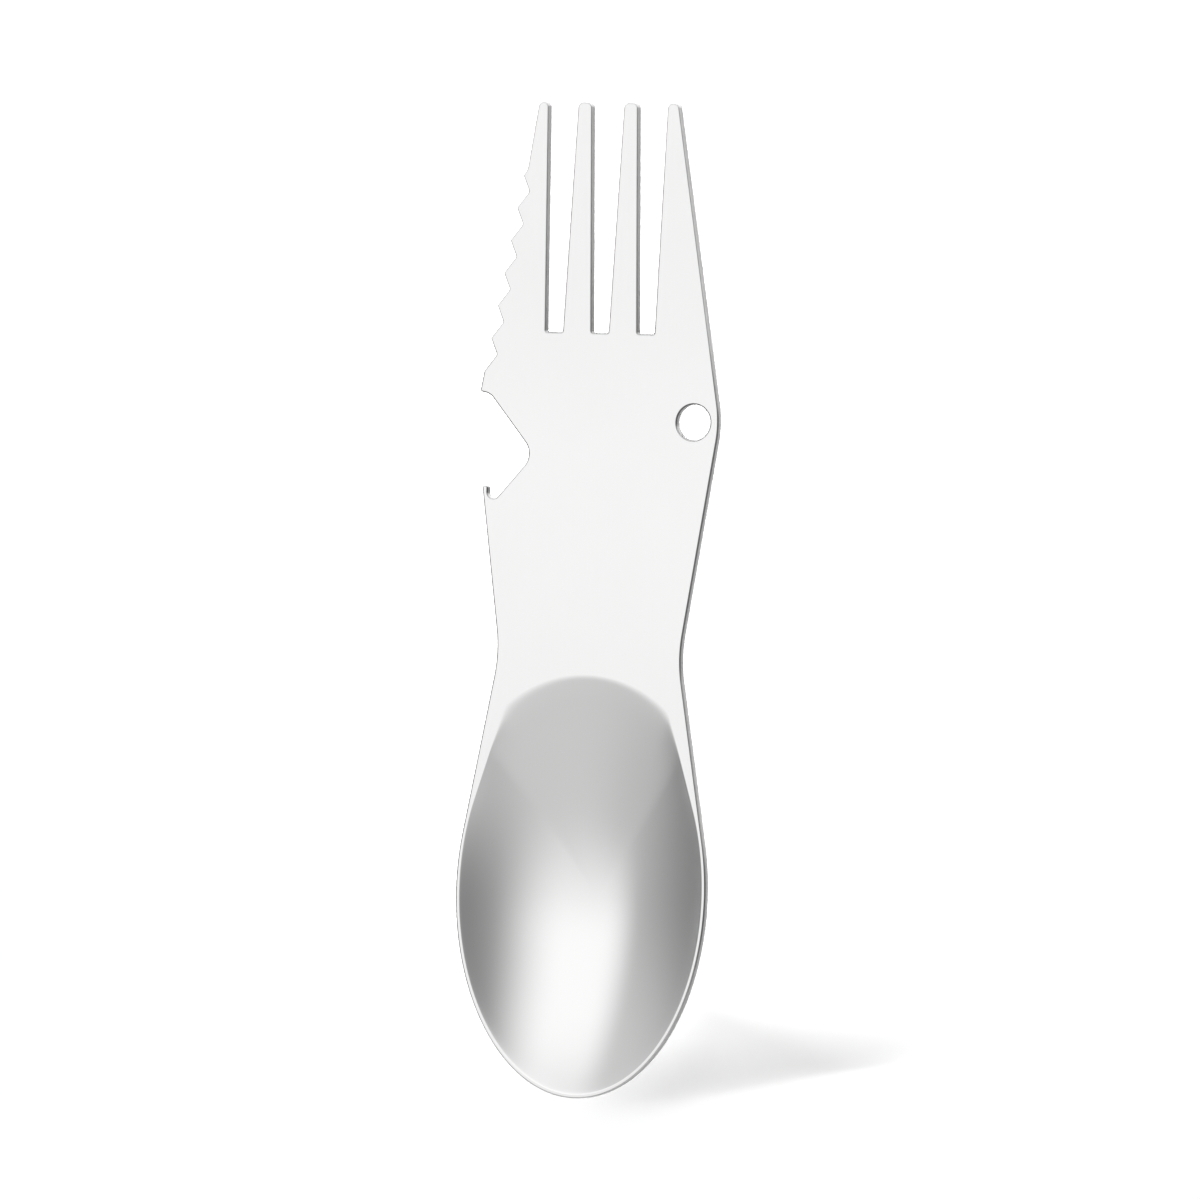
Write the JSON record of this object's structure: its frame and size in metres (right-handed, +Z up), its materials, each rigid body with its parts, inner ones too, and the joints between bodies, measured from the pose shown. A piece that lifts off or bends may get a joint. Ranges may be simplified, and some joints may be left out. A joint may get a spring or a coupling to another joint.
{
  "type": "one-piece spork",
  "caption": "One-piece stamped steel spork: fork tines with a saw edge, a bottle-opener notch with a hook, a lanyard hole, a waisted flat handle and a pressed spoon bowl.",
  "frame": {"origin": "on the table under the middle of the object, which lies bowl up on the dome of its bowl and the tips of its tines", "axes": "+Y along its length towards the tine tips, +Z up, +X to the right seen from the front with the fork at the top"},
  "size_m": [0.0446, 0.1646, 0.0103],
  "materials": {
    "steel": "satin"
  },
  "bodies": {
    "root": {"spork": "steel"}
  },
  "joints": []
}
